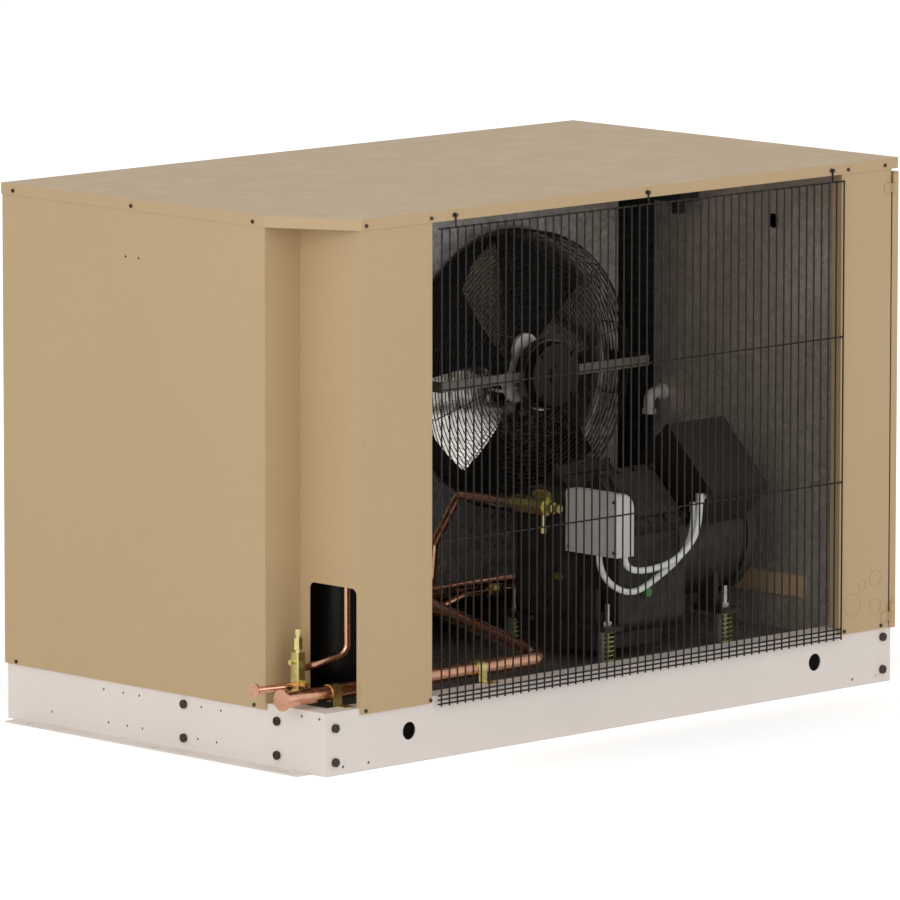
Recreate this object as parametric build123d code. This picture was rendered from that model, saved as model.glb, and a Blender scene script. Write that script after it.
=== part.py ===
from build123d import *
import math
import os

# Refrigeration condensing unit: a folded-steel base and cabinet, one fan on a shroud in front of an
# L-shaped condenser coil, a semi-hermetic compressor on spring mounts behind a wire guard, and the
# liquid and suction connections in a recessed front corner. Millimetres, +Z up, front is -Y.
# Stations are measured from the base's front-left bottom corner and moved by at() to the base centre.

# ---------------------------------------------------------------- base
base_l, base_w, base_h = 1850.0, 1071.0, 144.0
rail_t = 3.0                        # base steel gauge
rail_flange = 52.0                  # top flanges, turned inward
foot_flange = 45.0                  # bottom flanges and outward anchor flanges
anchor_front, anchor_rear = 49.0, 38.0   # anchor flange set-backs from the base ends
slot_pitch = 430.0                  # anchor slots, centre to centre
slot_len, slot_w = 34.0, 14.0
slot_edge = 22.5                    # slot centre to the rail's outer face
lift_hole_r, lift_hole_z = 20.5, 74.0
lift_hole_x = 260.0                 # from each end
bolt_shank_r, bolt_head_r, bolt_head_h = 5.0, 10.0, 6.0
hole_gap = 0.5                      # clearance round bolts, on the radius
bolt_low, bolt_high = 30.0, 108.0   # bolt rows on the rails
corner_bolt = 28.0                  # corner bolts from the base ends
member_y = (158.0, 468.0)           # cross members, at their end bolts
member_flange = 50.0
member_base = 12.0
deck_t, deck_z = 3.0, 125.0         # deck gauge and the height of its top
deck_gap = 0.5                      # deck pan to the rails' tabs

# ---------------------------------------------------------------- cabinet
height = 1252.0
panel_t = 2.0
panel_out = 5.0                     # outer faces of the panels beyond the base
panel_drop = 14.0                   # panels lap this far down over the base
hem_h = 12.0                        # folded hem that closes the lap
cap_t, cap_flange = 2.0, 26.0
notch_x, notch_y = 105.0, 192.0     # recessed service corner
service_y = (10.0, 163.0)           # service opening in the recess wall
service_top = 414.0
service_corner_r = 15.0
pier_left_end = 327.0               # front opening, from
pier_right_start = base_l - 184.0   # ... to
pier_right_end = base_l - 14.0
return_w = 25.0                     # folded returns on panel edges
partition_x, partition_y = pier_right_start + 8.0, 618.0
partition_hole = (224.0, height - 156.0, 17.5)   # cable hole: Y, Z, radius
post_w = 40.0
score_w = 1.6                       # scored line round a knockout
screw_head_r, screw_head_h, screw_r, screw_gap, screw_len = 4.5, 3.0, 1.9, 0.2, 9.0

# ---------------------------------------------------------------- control door
door_gap = 5.0                      # pier edge to the door's inner rim
door_depth = 20.0
door_z = (base_h + 2.0, height - 34.0)
door_drop = 18.0                    # the skin and front rim lap down past the base's top
door_y = (-panel_out, partition_y + 4.0)
gasket_clear = 0.3
gasket_w = 14.0
pin_r, knuckle_r, knuckle_h, pin_gap = 3.0, 5.5, 22.0, 0.05
knuckle_gap = 0.4
hinge_z = (base_h + 2.0, height - 82.0)
hinge_out = 6.5                     # hinge axis in front of the door edge
latch_z = 670.0

# ---------------------------------------------------------------- wire guard
wire = 4.0
guard_x = (pier_left_end + 20.0, pier_right_start + 2.0)
guard_count = 53
guard_rows = (base_h - 21.0, base_h - 11.0, base_h - 1.0, base_h + 350.0, base_h + 696.0, height - 44.0)
hook_x = (pier_left_end + 69.0, 1015.0, pier_right_start - 36.0)
hook_z = height - 14.0

# ---------------------------------------------------------------- coil
coil_t = 66.0
coil_gap = 12.0                     # coil face inside the base edge
coil_start_x = 70.0                 # left end of the rear leg
coil_start_y = partition_y + 50.0   # front end of the right leg
coil_bend = 60.0
coil_top_gap = 10.0
plate_t = 2.0
tube_rows = (11.0, 33.0)            # return bends, from the coil's outer face
header_row = 52.0
bend_tube_r = 5.0
bend_count = 9
plenum_pipe = 141.0                 # upright discharge run, from the base's rear edge
header_r = 11.0
header_out = 22.0

# ---------------------------------------------------------------- fan
fan_x, fan_z = 1175.0, 752.0
throat_r = 316.0
shroud_y = 616.0
shroud_x = (0.0, base_l - 301.0)
shroud_zs = (deck_z + 101.0, height - 52.0)
lip_r = 24.0
throat_len = 60.0
guard_ring_r, basket_wire = 332.0, 3.0
guard_face_y = 532.0
guard_inner_r = 125.0
motor_y = (461.0, 505.0)
motor_r, motor_band_t = 80.0, 3.0
cover_t, cover_bolt_r = 15.0, 68.0
shaft_r = 8.0
hub_y = (516.0, 556.0)
hub_r, hub_lobe_r, hub_core_r = 100.0, 40.0, 74.0
hub_plate_y, hub_plate_t = 524.0, 10.0
hub_boss_r, root_plate_t = 30.0, 4.0
blade_count = 4
blade_y = 590.0                     # mid plane of the blades
blade_tip_r = 300.0
blade_t = 2.6
arm_w, arm_t, arm_y = 25.0, 5.0, 486.0
arm_angles = (180.0, 0.0)
shaft_fit = 0.05

# ---------------------------------------------------------------- compressor
crank_y, crank_z = 257.0, 381.0
barrel_r = 150.0
barrel_x = (1240.0, 1480.0)
bell_len, bell_round = 64.0, 42.0
bell_r, bell_flange = 141.0, 8.0    # dome radius, and its flange beyond the barrel
case_x = 1040.0                     # front of the cylinder banks
case_y = (107.0, 407.0)
nose_x = 980.0
nose_y = (226.0, 384.0)
sump_z, case_z = 151.0, 378.0
bank_x = (1045.0, 1231.0)
bank_w, bank_len, head_t = 160.0, 146.0, 40.0
mount_x, mount_y = (1000.0, 1392.0), (105.0, 409.0)
lug_z, lug_t, lug_w = 205.0, 12.0, 56.0
spring_r, spring_wire, spring_turns = 17.0, 5.0, 6
stud_r, nut_r, nut_h, stud_top = 6.0, 11.0, 10.0, 268.0
spacer_r, spacer_t = 20.0, 2.5
spacer_open, spacer_turn = 4.0, -75.0       # the spacer's gap: from its centre, and its direction
box_x = (1257.0, 1450.0)
box_base, box_lid = 139.0, 262.0    # distances from the crank axis along the tilt
box_half, box_up = 106.0, 26.0
lid_t = 12.0
module_x, module_y, module_z = (980.0, 1044.0), (55.0, 222.0), (382.0, 530.0)
module_slope, module_round = 38.0, 12.0     # rounded top edges: away from the end, and front to back
conduit_r = 7.5
valve_x, valve_z = 930.0, 488.0

# ---------------------------------------------------------------- pipes
suction_r, suction_cap_r = 17.5, 25.0
discharge_r = 11.0
liquid_r, liquid_cap_r = 7.95, 17.0
drain_r = 9.5
oil_r = 6.35
clamp_x = (95.0, 553.0)
clamp_w, clamp_t = 26.0, 2.0
receiver_x, receiver_y, receiver_r = 330.0, 300.0, 108.0
receiver_z = (150.0, 860.0)

left, right = -base_l / 2, base_l / 2
front, rear = -base_w / 2, base_w / 2
cap_under = height - cap_t
panel_base = base_h - panel_drop

os.makedirs("parts", exist_ok=True)


# ---------------------------------------------------------------- helpers
def at(x, y, z):
    """A station from the base's front-left bottom corner, as a point of the model."""
    return (left + x, front + y, z)


def block(x, y, z):
    """A box between stations, each given as (from, to)."""
    low, high = at(x[0], y[0], z[0]), at(x[1], y[1], z[1])
    mid = [(a + b) / 2 for a, b in zip(low, high)]
    return Pos(*mid) * Box(*[b - a for a, b in zip(low, high)])


def rod(start, direction, radius, length):
    """A round bar from a station along a direction."""
    return Plane(origin=at(*start), z_dir=direction) * Pos(0, 0, length / 2) * Cylinder(radius, length)


def ring(start, direction, outer, inner, length):
    """A tube from a station along a direction."""
    return rod(start, direction, outer, length) - rod(start, direction, inner, length)


def prism(start, direction, radius, sides, length):
    """A regular prism from a station along a direction."""
    face = Plane(origin=at(*start), z_dir=direction) * RegularPolygon(radius, sides)
    return extrude(face, amount=length, dir=Vector(*direction))


def pipe(points, radius, bend):
    """A round tube's outer solid along straight runs with bends."""
    path = FilletPolyline(*[at(*p) for p in points], radius=bend) if len(points) > 2 else \
        Line(at(*points[0]), at(*points[1]))
    section = Plane(origin=path @ 0, z_dir=path % 0) * Circle(radius)
    return sweep(section, path=path)


def cord_bends(points):
    """The widest tangent arc at each corner of a cord's route."""
    radii = []
    for a, b, c in zip(points, points[1:], points[2:]):
        first, second = Vector(*b) - Vector(*a), Vector(*c) - Vector(*b)
        turn = math.radians(first.get_angle(second))
        radii.append(0.45 * min(first.length, second.length) / math.tan(turn / 2))
    return radii


def group(solids):
    """Several separate solids in one node."""
    return Compound(children=list(solids))


def save(name, shape):
    """Write one node."""
    export_step(shape, f"parts/{name}.step")


def mirrored_x(shape):
    return mirror(shape, about=Plane.YZ)


def mirrored_y(shape):
    return mirror(shape, about=Plane.XZ)


# ---------------------------------------------------------------- fasteners
def bolt(point, outward, grip):
    """A bolt through sheets: head outside, nut inside, at the outer face's station."""
    o = Vector(*outward)
    inner = Vector(*point) - o * grip
    head = rod(point, outward, bolt_head_r, bolt_head_h)
    shank = rod(tuple(inner - o * bolt_head_h), outward, bolt_shank_r, grip + 2 * bolt_head_h)
    nut = prism(tuple(inner), tuple(o * -1), bolt_head_r, 6, bolt_head_h)
    return head + shank + nut


def bolt_hole(point, outward, depth):
    start = Vector(*point) + Vector(*outward)
    return rod(tuple(start), tuple(Vector(*outward) * -1), bolt_shank_r + hole_gap, depth + 2)


def screw(point, outward):
    """A sheet-metal screw with a hexagonal head, at the outer face's station."""
    head = prism(point, outward, screw_head_r, 6, screw_head_h)
    start = Vector(*point) - Vector(*outward) * screw_len
    return head + rod(tuple(start), outward, screw_r, screw_len)


def screw_hole(point, outward):
    start = Vector(*point) - Vector(*outward) * (screw_len + 1)
    return rod(tuple(start), outward, screw_r + screw_gap, screw_len + 2)


rail_pair = 2 * rail_t
corner_bolts = [(x, z) for x in (corner_bolt, base_l - corner_bolt) for z in (bolt_low, bolt_high)]
side_bolts = [(y, z) for y in member_y for z in (bolt_low, bolt_high)]
FRONT, REAR, LEFT, RIGHT, UP, DOWN = (0, -1, 0), (0, 1, 0), (-1, 0, 0), (1, 0, 0), (0, 0, 1), (0, 0, -1)

cap_face = -panel_out - cap_t
side_screw_y = (notch_y + 37.0, 633.0, base_w - 35.0)
front_screw_x = (notch_x + 14.0, pier_left_end - 5.0, pier_right_start + 19.0, pier_right_end - 25.0)
cap_screw_z = height - 16.0
foot_screw_z = base_h - 7.0
screw_sites = [((cap_face, y, cap_screw_z), LEFT) for y in side_screw_y]
screw_sites += [((base_l - cap_face, y, cap_screw_z), RIGHT) for y in (partition_y + 27.0, base_w - 35.0)]
screw_sites += [((x, cap_face, cap_screw_z), FRONT) for x in front_screw_x]
screw_sites += [((x, base_w - cap_face, cap_screw_z), REAR) for x in (20.0, base_l / 2, base_l - 20.0)]
screw_sites += [((x, cap_face - wire, hook_z), FRONT) for x in hook_x]
screw_sites += [((x, -panel_out, foot_screw_z), FRONT) for x in front_screw_x]
screw_sites += [((-panel_out, y, foot_screw_z), LEFT) for y in (notch_y + 37.0, base_w - 35.0)]
screw_sites += [((base_l + panel_out, y, foot_screw_z), RIGHT) for y in (partition_y + 27.0, base_w - 35.0)]
drills = [screw_hole(p, n) for p, n in screw_sites]


# ---------------------------------------------------------------- base pieces
def cross_rail():
    """Front or rear C rail: full-length web, flanges between the side rails."""
    inner = (rail_t, base_l - rail_t)
    rail = block((0, base_l), (0, rail_t), (0, base_h))
    rail += block(inner, (0, rail_flange), (base_h - rail_t, base_h))
    rail += block(inner, (0, foot_flange), (0, rail_t))
    for x in (lift_hole_x, base_l - lift_hole_x):
        rail -= rod((x, -1, lift_hole_z), REAR, lift_hole_r, rail_t + 2)
    return rail - [bolt_hole((x, 0, z), FRONT, rail_t) for x, z in corner_bolts]


def side_rail():
    """Left rail: web, inward top flange, outward slotted anchor flange and bolted end tabs."""
    web = (rail_t, base_w - rail_t)
    rail = block((0, rail_t), web, (0, base_h))
    rail += block((0, rail_flange), (rail_flange, base_w - rail_flange), (base_h - rail_t, base_h))
    rail += block((-foot_flange, rail_t), (anchor_front, base_w - anchor_rear), (0, rail_t))
    tab = block((0, foot_flange + 5), (rail_t, rail_pair), (rail_t, base_h - rail_t))
    tab -= [bolt_hole((x, 0, z), FRONT, rail_pair) for x, z in corner_bolts[:2]]
    rail += [tab, mirrored_y(tab)]
    rail -= [bolt_hole((0, y, z), LEFT, rail_t) for y, z in side_bolts]
    slot = Pos(*at(-slot_edge, base_w / 2, 0)) * SlotOverall(slot_len, slot_w)
    slot = extrude(slot, amount=2 * rail_t, both=True)
    return rail - [Pos(0, step * slot_pitch, 0) * slot for step in (-1, 0, 1)]


def small_holes(sites, outward, radius):
    return [rod(tuple(Vector(*p) + Vector(*outward)), tuple(Vector(*outward) * -1), radius, rail_t + 2)
            for p in sites]


front_rail = cross_rail() - small_holes([(x, 0, 17.0) for x in (54.0, 133.0, base_l - 130.0, base_l - 49.0)], FRONT, 3.5)
left_rail = side_rail()
left_rail_drilled = left_rail - small_holes([(0, y, 108.0) for y in (346.0, 411.0, 620.0, 674.0, 741.0)],
                                            LEFT, 3.0)
left_rail_drilled -= small_holes([(0, y, 33.0) for y in (360.0, 423.0, 610.0, 661.0, 725.0, 920.0)], LEFT, 3.0)
left_rail_drilled -= small_holes([(0, y, 129.0) for y in (21.0, 79.0)], LEFT, 3.5)
save("base_front_rail", front_rail - drills)
save("base_rear_rail", mirrored_y(cross_rail()))
save("base_left_rail", left_rail_drilled - drills)
save("base_right_rail", mirrored_x(left_rail) - drills)


def cross_member(y):
    """Channel between the side rails with welded end plates."""
    top = deck_z - deck_t
    span = (rail_t, base_l - rail_t)
    back = y - member_flange / 2
    member = block(span, (back, back + rail_t), (member_base, top))
    for z in (member_base, top - rail_t):
        member += block(span, (back, back + member_flange), (z, z + rail_t))
    plate = block((rail_t, rail_pair), (back, back + member_flange), (member_base, top))
    plate -= [bolt_hole((0, y, z), LEFT, rail_pair) for z in (bolt_low, bolt_high)]
    return member + [plate, mirrored_x(plate)]


save("base_cross_members", group(cross_member(y) for y in member_y))


def deck():
    """Folded floor pan: rests on the cross members, its lips under the rails' top flanges."""
    inset = rail_pair + deck_gap
    x, y = (inset, base_l - inset), (inset, base_w - inset)
    pan = block(x, y, (deck_z - deck_t, base_h - rail_t))
    pan -= block((x[0] + deck_t, x[1] - deck_t), (y[0] + deck_t, y[1] - deck_t), (deck_z, base_h))
    return pan - [rod((mx, my, deck_z - 5), UP, stud_r + hole_gap, 10) for mx in mount_x for my in mount_y]


save("base_deck", deck())

front_bolts = [bolt((x, 0, z), FRONT, rail_pair) for x, z in corner_bolts]
left_bolts = [bolt((0, y, z), LEFT, rail_pair) for y, z in side_bolts]
save("base_bolts", group(front_bolts + [mirrored_y(b) for b in front_bolts] +
                         left_bolts + [mirrored_x(b) for b in left_bolts]))


# ---------------------------------------------------------------- cabinet panels
def left_panel():
    """Left side with the recess's front-facing wall, a rear return and a hem on the base."""
    x, y = (-panel_out, panel_t - panel_out), (notch_y, base_w + panel_out)
    panel = block(x, y, (panel_base, cap_under))
    panel += block((-panel_out, notch_x), (notch_y, notch_y + panel_t), (base_h, cap_under))
    panel += block((-panel_out, post_w), (base_w + panel_out - panel_t, base_w + panel_out),
                   (panel_base, cap_under))
    panel += block((x[1], 0), (notch_y, base_w), (panel_base, panel_base + hem_h))
    panel -= [rod((-panel_out - 1, py, height - 134.0), RIGHT, 3.0, panel_t + 2) for py in (611.0, 655.0)]
    return panel - drills


def corner_panel():
    """Recess wall with the service opening, and the front pier beside it."""
    wall = block((notch_x, notch_x + panel_t), (-panel_out, notch_y + panel_t), (base_h, cap_under))
    opening = block((notch_x - 1, notch_x + panel_t + 1), service_y, (base_h - 1, service_top))
    opening = fillet(opening.edges().filter_by(Axis.X).group_by(Axis.Z)[-1], service_corner_r)
    pier = block((notch_x, pier_left_end), (-panel_out, panel_t - panel_out), (panel_base, cap_under))
    fold = block((pier_left_end - panel_t, pier_left_end), (-panel_out, return_w), (base_h, cap_under))
    hem = block((notch_x, pier_left_end), (panel_t - panel_out, 0), (panel_base, panel_base + hem_h))
    return wall + [pier, fold, hem] - opening - drills


knockouts = ((46.0, 53.0, 28.0), (124.0, 109.0, 20.0), (125.0, 41.0, 20.0), (79.0, 98.0, 14.0))
# from the pier's left edge, above the base, radius


def right_front_pier():
    """Front pier of the control compartment, with four scored conduit knockouts."""
    pier = block((pier_right_start, pier_right_end), (-panel_out, panel_t - panel_out),
                 (panel_base, cap_under))
    for x in (pier_right_start, pier_right_end - panel_t):
        pier += block((x, x + panel_t), (-panel_out, return_w), (base_h, cap_under))
    pier += block((pier_right_start, pier_right_end), (panel_t - panel_out, 0),
                  (panel_base, panel_base + hem_h))
    for x, z, r in knockouts:
        place = (pier_right_start + x, -panel_out - 1, base_h + z)
        pier -= ring(place, REAR, r, r - score_w, 1 + 0.4 * panel_t)
    return pier - drills


def top_cap():
    """Flat top with a folded rim and a chamfered corner over the recess."""
    low, high_x, high_y = -panel_out, base_l + panel_out, base_w + panel_out
    corners = [(low, notch_y), (low, high_y), (high_x, high_y), (high_x, low), (notch_x, low)]
    inner = make_face(Polyline(*[at(x, y, height - cap_flange) for x, y in corners], close=True))
    outer = offset(inner, amount=cap_t, kind=Kind.INTERSECTION)
    cap = extrude(outer, amount=cap_flange, dir=(0, 0, 1))
    return cap - extrude(inner, amount=cap_flange - cap_t, dir=(0, 0, 1)) - drills


def right_posts():
    """Rear corner post and the cover post between the door and the coil."""
    out = base_l + panel_out
    skin = (out - panel_t, out)
    back = (base_w + panel_out - panel_t, base_w + panel_out)
    corner = block(skin, (base_w - post_w, base_w + panel_out), (panel_base, cap_under))
    corner += block((base_l - post_w, out), back, (panel_base, cap_under))
    corner += block((base_l, skin[0]), (base_w - post_w, base_w), (panel_base, panel_base + hem_h))
    mid = block(skin, (partition_y + 10, coil_start_y + 10), (panel_base, cap_under))
    mid += block((out - return_w, out), (partition_y + 10, partition_y + 10 + panel_t),
                 (base_h, cap_under))
    mid += block((base_l, skin[0]), (partition_y + 10, coil_start_y + 10),
                 (panel_base, panel_base + hem_h))
    return [corner - drills, mid - drills]


def control_partition():
    """Galvanised wall of the control compartment, folded round its rear side to the door rim."""
    x, y = partition_x, partition_y
    span = (deck_z, cap_under)
    wall = block((x, x + panel_t), (panel_t - panel_out, y + panel_t), span)
    wall -= block((x - 1, x + panel_t + 1), (-panel_out, rail_flange), (deck_z - 1, base_h))
    wall += block((x, x + 20), (panel_t - panel_out, 2 * panel_t - panel_out), (base_h, cap_under))
    wall += block((x, pier_right_end), (y, y + panel_t), span)
    wall += block((pier_right_end - panel_t, pier_right_end), (y - return_w, y + panel_t),
                  (base_h, cap_under))
    wall -= block((base_l - rail_flange, base_l), (y - 1, y + panel_t + 1), (deck_z - 1, base_h))
    wall -= rod((x - 1, *partition_hole[:2]), RIGHT, partition_hole[2], panel_t + 2)
    return wall - drills - [rod((x - 1, py, pz), RIGHT, 3.0, panel_t + 2)
                            for py, pz in ((60.0, height - 242), (300.0, height - 262), (330.0, 760.0), (60.0, 640.0))]


save("left_panel", left_panel())
save("corner_panel", corner_panel())
save("right_front_pier", right_front_pier())
save("top_cap", top_cap())
save("right_posts", group(right_posts()))
save("control_partition", control_partition())
save("partition_strip", block((partition_x - 4, partition_x), (114.0, 349.0), (205.0, 255.0)))
save("cabinet_screws", group(screw(p, n) for p, n in screw_sites))

# ---------------------------------------------------------------- control door
door_x = pier_right_end + door_gap
hinge_x, hinge_y = door_x + 2.0, door_y[0] - hinge_out


def control_door():
    """Pan door: skin and a folded rim all round."""
    x = (door_x, door_x + door_depth)
    door = block(x, door_y, door_z)
    door -= block((x[0] - 1, x[1] - panel_t), (door_y[0] + panel_t, door_y[1] - panel_t),
                  (door_z[0] + panel_t, door_z[1] - panel_t))
    lap = (door_z[0] - door_drop, door_z[0] + panel_t)
    door += [block((x[1] - panel_t, x[1]), door_y, lap), block(x, (door_y[0], door_y[0] + panel_t), lap)]
    return door - rod((x[1] - 5, door_y[1] - 45.0, latch_z), RIGHT, 11.0 + pin_gap, 10)


def door_leaf(z):
    """Moving hinge leaf: a plate on the door's front rim and its knuckle round the pin."""
    start = z + knuckle_h + knuckle_gap
    leaf = block((door_x, door_x + 14), (door_y[0] - 2, door_y[0]), (start, start + knuckle_h))
    leaf += rod((hinge_x, hinge_y, start), UP, knuckle_r, knuckle_h)
    leaf += block((hinge_x - 1, hinge_x + 5), (hinge_y, door_y[0]), (start, start + knuckle_h))
    return leaf - rod((hinge_x, hinge_y, start - 1), UP, pin_r + pin_gap, knuckle_h + 2)


def fixed_hinge(z):
    """Fixed hinge leaf on the pier with its pin standing up through the door's knuckle."""
    leaf = block((pier_right_end - 24, pier_right_end), (-panel_out - 2, -panel_out), (z, z + knuckle_h))
    leaf += block((pier_right_end - 2, hinge_x), (hinge_y + 1, -panel_out), (z, z + knuckle_h))
    leaf += rod((hinge_x, hinge_y, z), UP, knuckle_r, knuckle_h)
    return leaf + rod((hinge_x, hinge_y, z + knuckle_h), UP, pin_r, knuckle_h + knuckle_gap + 3)


def door_latch():
    """Quarter-turn latch: slotted round head, spindle and a cam behind the compartment's rim."""
    y = door_y[1] - 45.0
    skin = door_x + door_depth
    latch = rod((skin, y, latch_z), RIGHT, 16.0, 5.0)
    latch += block((skin + 5, skin + 13), (y - 4, y + 4), (latch_z - 15, latch_z + 15))
    latch += rod((skin, y, latch_z), LEFT, 11.0, 12.0)
    latch += rod((skin - 12, y, latch_z), LEFT, 6.0, skin - 12 - (pier_right_end - 6))
    return latch + block((pier_right_end - 8, pier_right_end - 5), (y - 8, y + 8), (latch_z - 8, latch_z + 34))


def door_gasket():
    """Rubber strip round the compartment's mouth."""
    x = (pier_right_end, pier_right_end + door_gap - gasket_clear)
    y = (door_y[0] + panel_t, partition_y + panel_t)
    strip = block(x, y, (base_h, door_z[1]))
    return strip - block((x[0] - 1, x[1] + 1), (y[0] + gasket_w, y[1] - gasket_w),
                         (base_h + gasket_w, door_z[1] - gasket_w))


save("control_door", control_door())
save("door_hinge_leaves", group(door_leaf(z) for z in hinge_z))
save("door_hinge_pins", group(fixed_hinge(z) for z in hinge_z))
save("door_latch", door_latch())
save("door_gasket", door_gasket())

# ---------------------------------------------------------------- control gear
plate_x = partition_x + panel_t + 18.0
plate_y, plate_z = (90.0, partition_y - 78.0), (base_h + 276.0, height - 192.0)


def control_plate():
    """Back plate on four stand-offs from the partition."""
    plate = block((plate_x, plate_x + plate_t), plate_y, plate_z)
    for y in (plate_y[0] + 20, plate_y[1] - 20):
        for z in (plate_z[0] + 20, plate_z[1] - 20):
            plate += rod((partition_x + panel_t, y, z), RIGHT, 6.0, plate_x - partition_x - panel_t)
    return plate


def contactor(y, z):
    """Contactor: stepped body with terminal shoulders."""
    x = plate_x + plate_t
    body = block((x, x + 55), (y, y + 75), (z, z + 90))
    return body + block((x + 55, x + 85), (y + 8, y + 67), (z + 18, z + 72))


def terminal_strip(y, z):
    """Terminal block with open cells between its barriers."""
    x = plate_x + plate_t
    strip = block((x, x + 40), (y, y + 190), (z, z + 45))
    return strip - [block((x + 20, x + 41), (y + 6 + 23 * i, y + 23 * (i + 1)), (z - 1, z + 46))
                    for i in range(8)]


def transformer(y, z):
    x = plate_x + plate_t
    return block((x, x + 60), (y, y + 70), (z, z + 60)) + block((x, x + 4), (y - 14, y + 84), (z, z + 60))


save("control_plate", control_plate())
save("control_gear", group([contactor(120.0, 860.0), contactor(240.0, 860.0), contactor(380.0, 860.0),
                            terminal_strip(140.0, 520.0), transformer(400.0, 620.0)]))
switch_z = height - 130.0
save("pressure_switch", block((partition_x - 66.0, partition_x), (470.0, 580.0), (switch_z, switch_z + 63.0)) +
     block((partition_x - 46.0, partition_x - 20.0), (490.0, 516.0), (switch_z - 30.0, switch_z)))


def conduit_elbow():
    """Liquid-tight elbow on the partition."""
    z = 650.0
    elbow = rod((partition_x, 590.0, z), LEFT, 20.0, 8.0)
    bend = pipe([(partition_x - 8, 590.0, z), (partition_x - 44, 590.0, z), (partition_x - 44, 590.0, z - 36)],
                14.0, 20.0)
    return elbow + bend + ring((partition_x - 44, 590.0, z - 36), DOWN, 17.0, 9.0, 12.0)


save("conduit_elbow", conduit_elbow())

# ---------------------------------------------------------------- wire guard
guard_back = cap_face - wire         # rear plane of the upright wires


def wire_guard():
    """Welded guard: upright wires on cross wires, hung by hooks from screws in the top's rim."""
    rows = (guard_x[0] - wire, guard_x[1] + wire)
    guard = [block(rows, (guard_back, guard_back + wire), (z, z + wire)) for z in guard_rows]
    pitch = (guard_x[1] - guard_x[0] - wire) / (guard_count - 1)
    low, high = guard_rows[0] - 4, guard_rows[-1] + wire + 2
    uprights = [block((guard_x[0] + i * pitch, guard_x[0] + i * pitch + wire),
                      (guard_back - wire, guard_back), (low, high)) for i in range(guard_count)]
    hooks = []
    for x in hook_x:
        side = x + screw_r + screw_gap
        hooks.append(block((side, side + wire), (guard_back, guard_back + wire),
                           (guard_rows[-1], hook_z + screw_r + screw_gap + wire)))
        hooks.append(block((side - 2 * screw_r - wire - 1, side + wire), (guard_back, guard_back + wire),
                           (hook_z + screw_r + screw_gap, hook_z + screw_r + screw_gap + wire)))
    return guard[0] + guard[1:] + uprights + hooks


save("wire_guard", wire_guard())

# ---------------------------------------------------------------- condenser coil
coil_back = base_w - coil_gap
coil_side = base_l - coil_gap
coil_top = cap_under - coil_top_gap
rear_leg_y = (coil_back - coil_t, coil_back)
right_leg_x = (coil_side - coil_t, coil_side)


def coil_fins():
    """Finned slab along the rear, bent round the right rear corner."""
    x0, x1, x2 = coil_start_x, right_leg_x[0], right_leg_x[1]
    y0, y1, y2 = coil_start_y, rear_leg_y[0], rear_leg_y[1]
    z = base_h
    inner = FilletPolyline(at(x0, y1, z), at(x1, y1, z), at(x1, y0, z), radius=coil_bend)
    outer = FilletPolyline(at(x2, y0, z), at(x2, y2, z), at(x0, y2, z), radius=coil_bend + coil_t)
    ends = [Line(at(x1, y0, z), at(x2, y0, z)), Line(at(x0, y2, z), at(x0, y1, z))]
    face = make_face(inner.edges() + outer.edges() + ends[0].edges() + ends[1].edges())
    return extrude(face, amount=coil_top - z, dir=(0, 0, 1))


def coil_end_plates():
    """Tube sheets at the coil's two ends, with folded edges."""
    span = (base_h, coil_top)
    first = block((coil_start_x - plate_t, coil_start_x), rear_leg_y, span)
    first += block((coil_start_x - 16, coil_start_x - plate_t), (rear_leg_y[1] - plate_t, rear_leg_y[1]), span)
    second = block(right_leg_x, (coil_start_y - plate_t, coil_start_y), span)
    return [first, second]


bend_gap = (70.0, 82.0)             # lowest and highest return bend, from the ends of the coil
bend_z = [base_h + bend_gap[0] + i * (coil_top - base_h - sum(bend_gap)) / (bend_count - 1)
          for i in range(bend_count)]


def return_bend(mid, spread, out):
    """U tube between two rows of the coil: mid on the tube sheet, spread across, out away."""
    m, s, o = Vector(*mid), Vector(*spread), Vector(*out)
    half = s * ((tube_rows[1] - tube_rows[0]) / 2)
    points = [m - half, m - half + o * 24, m + half + o * 24, m + half]
    path = FilletPolyline(*[at(*p) for p in points], radius=half.length * 0.98)
    section = Plane(origin=path @ 0, z_dir=path % 0) * RegularPolygon(bend_tube_r, 6)
    return sweep(section, path=path)


def coil_return_bends():
    row = (tube_rows[0] + tube_rows[1]) / 2
    bends = []
    for z in bend_z:
        bends.append(return_bend((coil_start_x - plate_t, coil_back - row, z), REAR, LEFT))
        bends.append(return_bend((coil_side - row, coil_start_y - plate_t, z), LEFT, FRONT))
    return bends


header_x, header_y = coil_start_x - plate_t - header_out, coil_back - header_row
hot_header_z, cold_header_z = (height - 552.0, height - 72.0), (base_h + 41.0, height - 612.0)


def manifold(span, stub_count):
    """Upright header with stubs into the tube sheet."""
    pitch = (span[1] - span[0] - 60) / (stub_count - 1)
    header = rod((header_x, header_y, span[0]), UP, header_r, span[1] - span[0])
    return header + [rod((header_x, header_y, span[0] + 30 + i * pitch), RIGHT, bend_tube_r, header_out)
                     for i in range(stub_count)]


save("coil_fins", coil_fins())
save("coil_end_plates", group(coil_end_plates()))
save("coil_tubes", group(coil_return_bends() + [manifold(hot_header_z, 4), manifold(cold_header_z, 4)]))

# ---------------------------------------------------------------- fan
shroud_back = shroud_y + panel_t
seam_gap = 0.05                     # throat lip to the shroud's hole


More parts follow.
